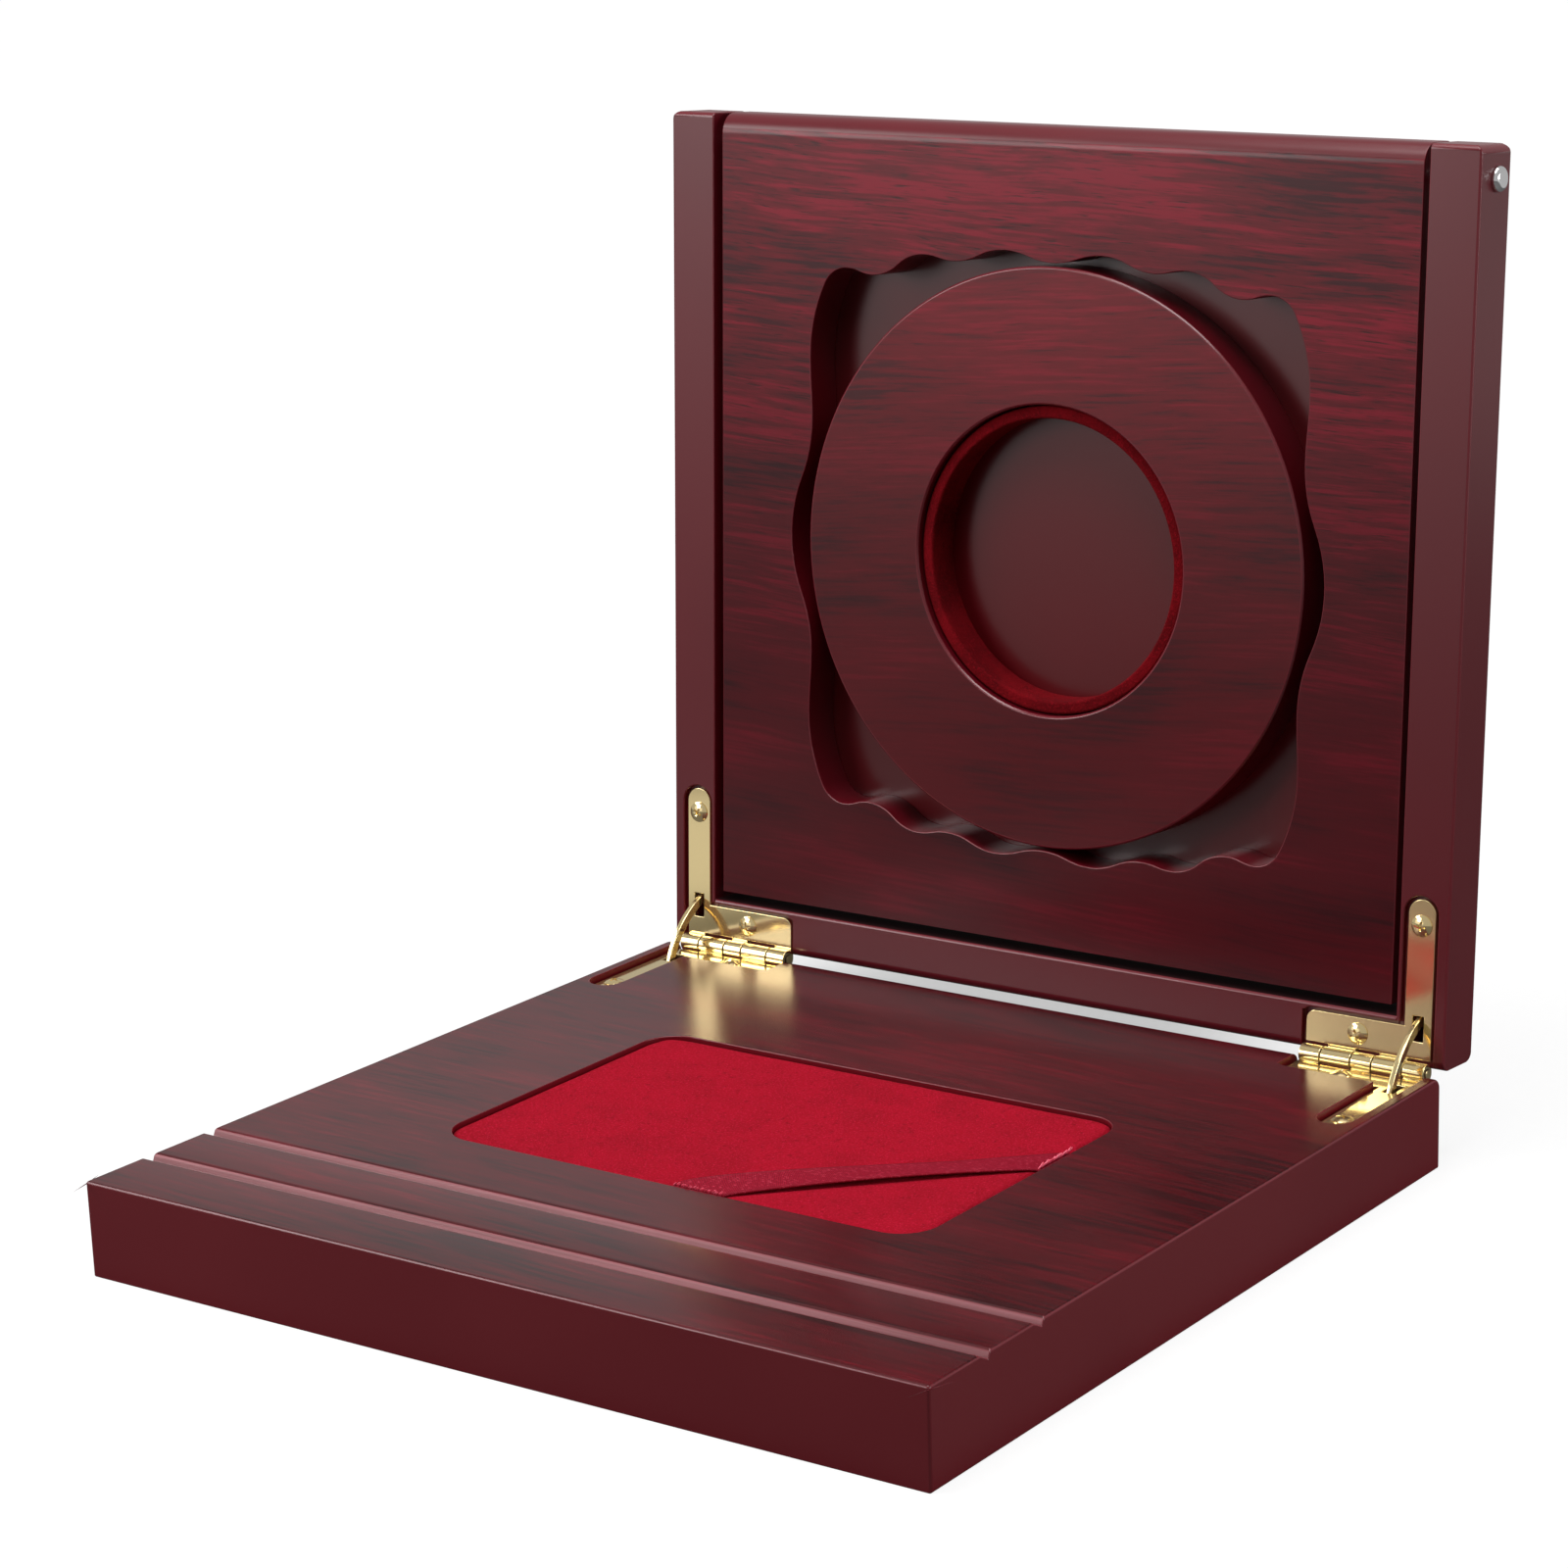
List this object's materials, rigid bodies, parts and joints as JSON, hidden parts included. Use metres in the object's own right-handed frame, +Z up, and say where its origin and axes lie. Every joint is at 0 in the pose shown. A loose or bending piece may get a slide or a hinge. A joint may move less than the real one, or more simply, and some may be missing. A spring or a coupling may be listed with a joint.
{
  "type": "coin display box",
  "caption": "Square lacquered coin display box: grooved base with a velvet recess, hinged frame lid and a pivoting panel with a round velvet-lined coin seat.",
  "frame": {"origin": "centre of the underside of the base, which the box stands on", "axes": "+X to the right as seen from the front, parallel to the hinge axis; +Y to the rear, towards the hinges; +Z up"},
  "size_m": [0.203, 0.2146, 0.2089],
  "materials": {
    "lacquered_wood": "gloss",
    "grain_film_wood": "semi-gloss",
    "red_velvet": "matte",
    "dark_velvet": "matte",
    "red_ribbon": "satin",
    "brass_plate": "polished",
    "nickel_plate": "polished"
  },
  "bodies": {
    "base": {"base_block": "lacquered_wood", "velvet_pad": "red_velvet", "ribbon_strap": "red_ribbon", "hinge_left_base_leaf": "brass_plate", "hinge_right_base_leaf": "brass_plate", "hinge_right_pin": "brass_plate", "base_hinge_screws": "brass_plate"},
    "lid": {"lid_left_stile": "lacquered_wood", "lid_right_stile": "lacquered_wood", "lid_bottom_rail": "lacquered_wood", "hinge_left_lid_leaf": "brass_plate", "hinge_right_lid_leaf": "brass_plate", "hinge_left_pin": "brass_plate", "lid_hinge_screws": "brass_plate", "pivot_pin_left": "nickel_plate", "pivot_pin_right": "nickel_plate"},
    "panel": {"panel_face_board": "grain_film_wood", "panel_back_board": "lacquered_wood", "coin_ring": "grain_film_wood", "coin_seat_liner": "dark_velvet"},
    "left_stay": {"hinge_left_stay": "brass_plate"},
    "right_stay": {"hinge_right_stay": "brass_plate"}
  },
  "joints": [
    {"name": "lid_hinge", "type": "hinge", "parent": "base", "child": "lid", "pos_m": [0, 0.0951, 0.0198], "axis": [1, 0, 0], "range_deg": [0, 93.5]},
    {"name": "panel_pivot", "type": "hinge", "parent": "lid", "child": "panel", "pos_m": [0, 0.11385, 0.2018], "axis": [1, 0, 0], "range_deg": [0, 90]},
    {"name": "left_stay_slide", "type": "hinge", "parent": "base", "child": "left_stay", "pos_m": [0, 0.0951, 0.0198], "axis": [1, 0, 0], "range_deg": [0, 46.75]},
    {"name": "right_stay_slide", "type": "hinge", "parent": "base", "child": "right_stay", "pos_m": [0, 0.0951, 0.0198], "axis": [1, 0, 0], "range_deg": [0, 46.75]}
  ],
  "couplings": [
    {"joint": "left_stay_slide", "follows": "lid_hinge", "ratio": 0.5},
    {"joint": "right_stay_slide", "follows": "lid_hinge", "ratio": 0.5}
  ]
}
